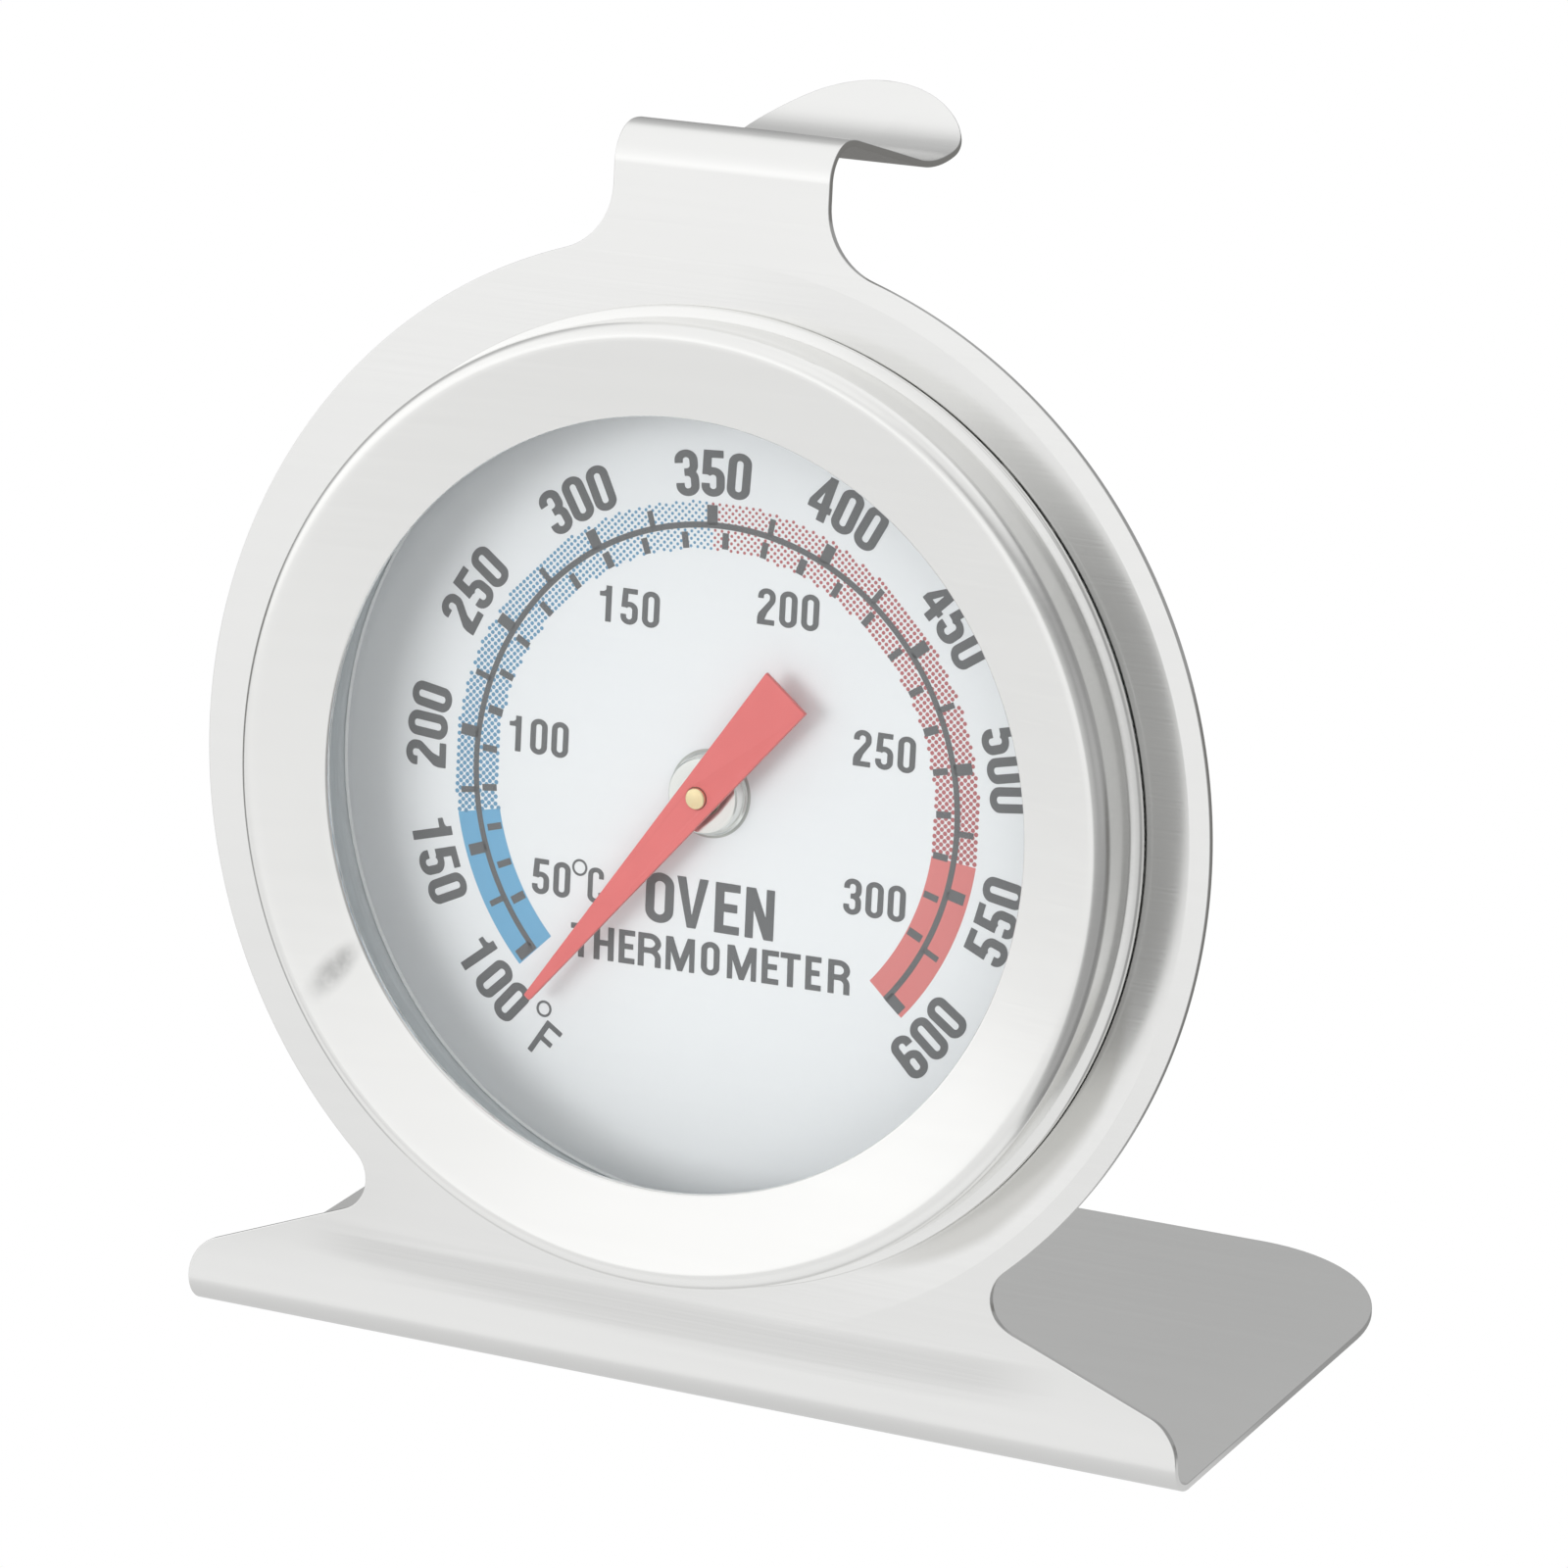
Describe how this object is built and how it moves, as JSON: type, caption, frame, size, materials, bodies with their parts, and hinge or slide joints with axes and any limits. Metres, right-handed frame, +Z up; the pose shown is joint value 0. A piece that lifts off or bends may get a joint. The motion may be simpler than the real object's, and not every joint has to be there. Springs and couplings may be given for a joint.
{
  "type": "oven thermometer",
  "caption": "Dial oven thermometer on a folded steel stand with a foot and a rack hook; a bimetal movement turns the pointer.",
  "frame": {"origin": "centre of the bounding box's bottom face, on the floor under the foot", "axes": "+Z up; the dial faces -Y and leans back 7 degrees, so the foot runs back along +Y; +X is to the right of a viewer facing the dial"},
  "size_m": [0.0624, 0.039, 0.0703],
  "materials": {
    "stand_steel": "satin stainless sheet with a fine horizontal grain",
    "bezel_steel": "satin stainless, spun",
    "lens_glass": "clear flat glass",
    "case_steel": "plain drawn steel",
    "dial_paint": "satin white enamel with a printed scale in grey, blue and red",
    "bush_metal": "bright turned metal",
    "brass": "bright turned brass",
    "bimetal": "rolled strip, faint straw tint",
    "pointer_paint": "satin light red paint on thin sheet"
  },
  "bodies": {
    "case": {"stand_bracket": "stand_steel", "bezel": "bezel_steel", "lens": "lens_glass", "spacer_ring": "case_steel", "dial_plate": "dial_paint", "case_cup": "case_steel", "front_bush": "bush_metal", "rear_bush": "brass", "coil_post": "case_steel", "coil_rivet": "case_steel", "post_rivet": "case_steel", "bimetal_coil": "bimetal"},
    "movement": {"pointer": "pointer_paint", "spindle": "brass", "snap_washer": "case_steel", "coil_collet": "brass"}
  },
  "joints": [
    {"name": "pointer_turn", "type": "hinge", "parent": "case", "child": "movement", "pos_m": [0, -0.01233, 0.0341], "axis": [0, 0.9925, -0.1219], "range_deg": [-6, 275], "stiffness_Nm_per_rad": 0.004, "deforming": ["bimetal_coil"]}
  ]
}
